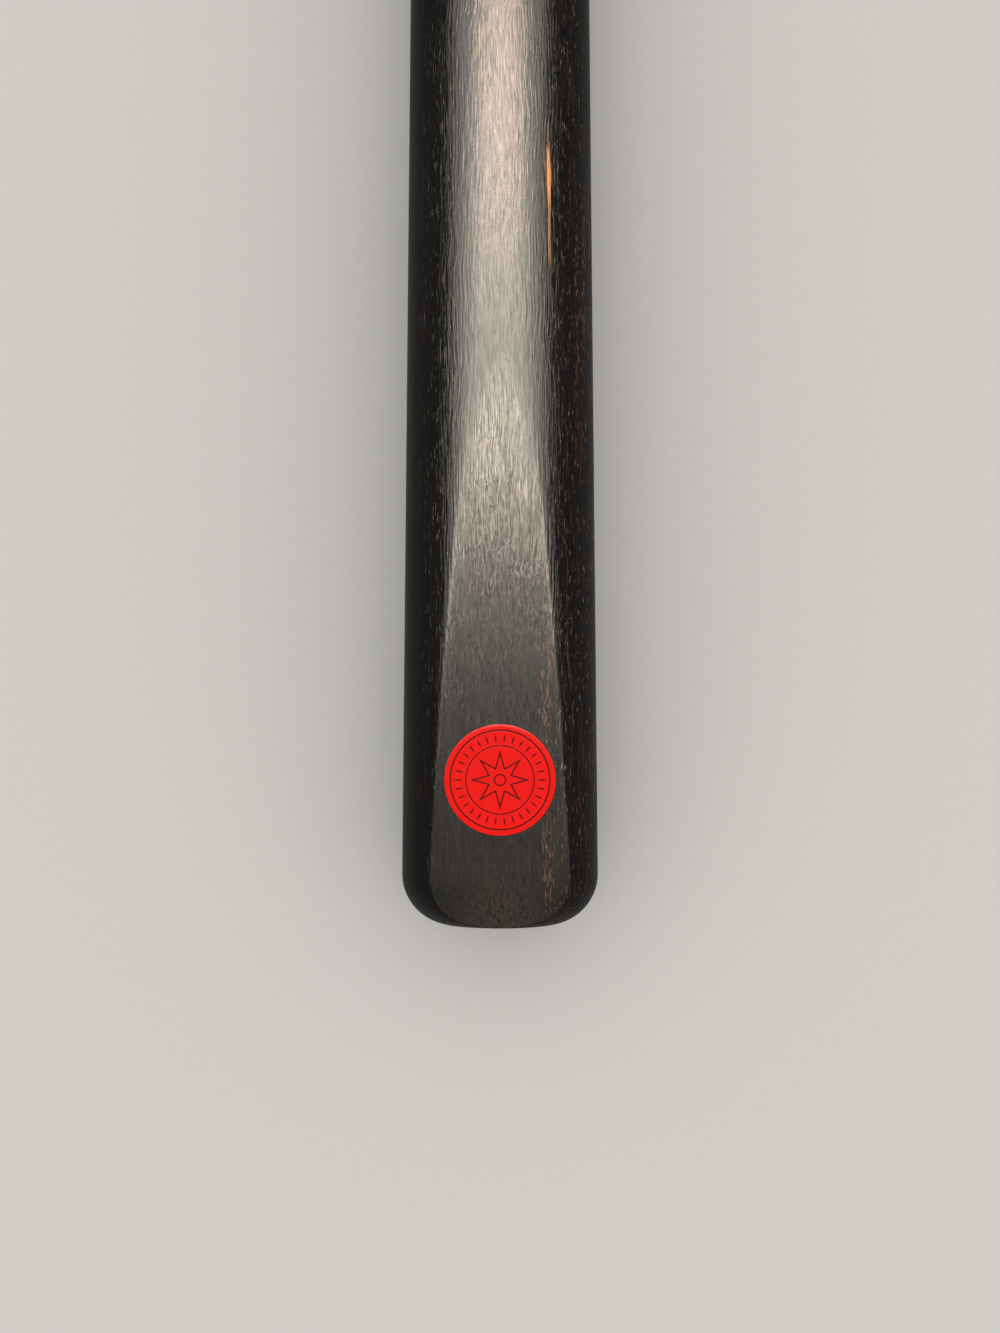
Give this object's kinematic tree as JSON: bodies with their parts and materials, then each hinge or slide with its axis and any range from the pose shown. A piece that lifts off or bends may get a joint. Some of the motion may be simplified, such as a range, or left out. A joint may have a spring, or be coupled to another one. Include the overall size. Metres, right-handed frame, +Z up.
{
  "type": "snooker cue",
  "caption": "Long tapered wooden cue in sections joined by a brass screw joint, with dark spliced butt, flat chamfer, round red badge, ferrule and domed tip.",
  "frame": {"origin": "below the middle of the cue's length, in the plane that its butt rests on", "axes": "+Y along the cue from the butt to the tip, +Z up out of the chamfer and badge, +X to the right of someone who looks from the butt to the tip"},
  "size_m": [0.029, 1.473, 0.0285],
  "materials": {
    "ebony": "oiled and buffed to a satin sheen, open pores",
    "ash": "oiled, straight grain with arrow-shaped rings",
    "brass": "turned and polished",
    "steel": "turned, hidden inside the butt",
    "badge_red": "red enamel with fine dark engraved lines",
    "fibre": "pressed fibre, matt",
    "tip_leather": "pressed leather, chalked"
  },
  "bodies": {
    "butt": {"butt_core": "ash", "butt_splice_front": "ebony", "butt_splice_back": "ebony", "butt_splice_left": "ebony", "butt_splice_right": "ebony", "badge": "badge_red", "extension_bush": "brass", "balance_weight": "steel", "joint_socket": "brass"},
    "washer": {"joint_washer": "fibre"},
    "shaft": {"shaft": "ash", "shaft_splice_front": "ebony", "shaft_splice_back": "ebony", "shaft_splice_left": "ebony", "shaft_splice_right": "ebony", "joint_stud": "brass", "ferrule": "brass", "tip": "tip_leather"}
  },
  "joints": [
    {"name": "joint_travel", "type": "slide", "parent": "butt", "child": "washer", "axis": [0, 1, 0], "range_m": [0, 0.03]},
    {"name": "joint_turn", "type": "hinge", "parent": "washer", "child": "shaft", "pos_m": [0, -0.3305, 0.01454], "axis": [0, 1, 0], "range_deg": [0, 4321]}
  ],
  "couplings": [
    {"joint": "joint_turn", "follows": "joint_travel", "rad_per_m": 2513.3}
  ]
}
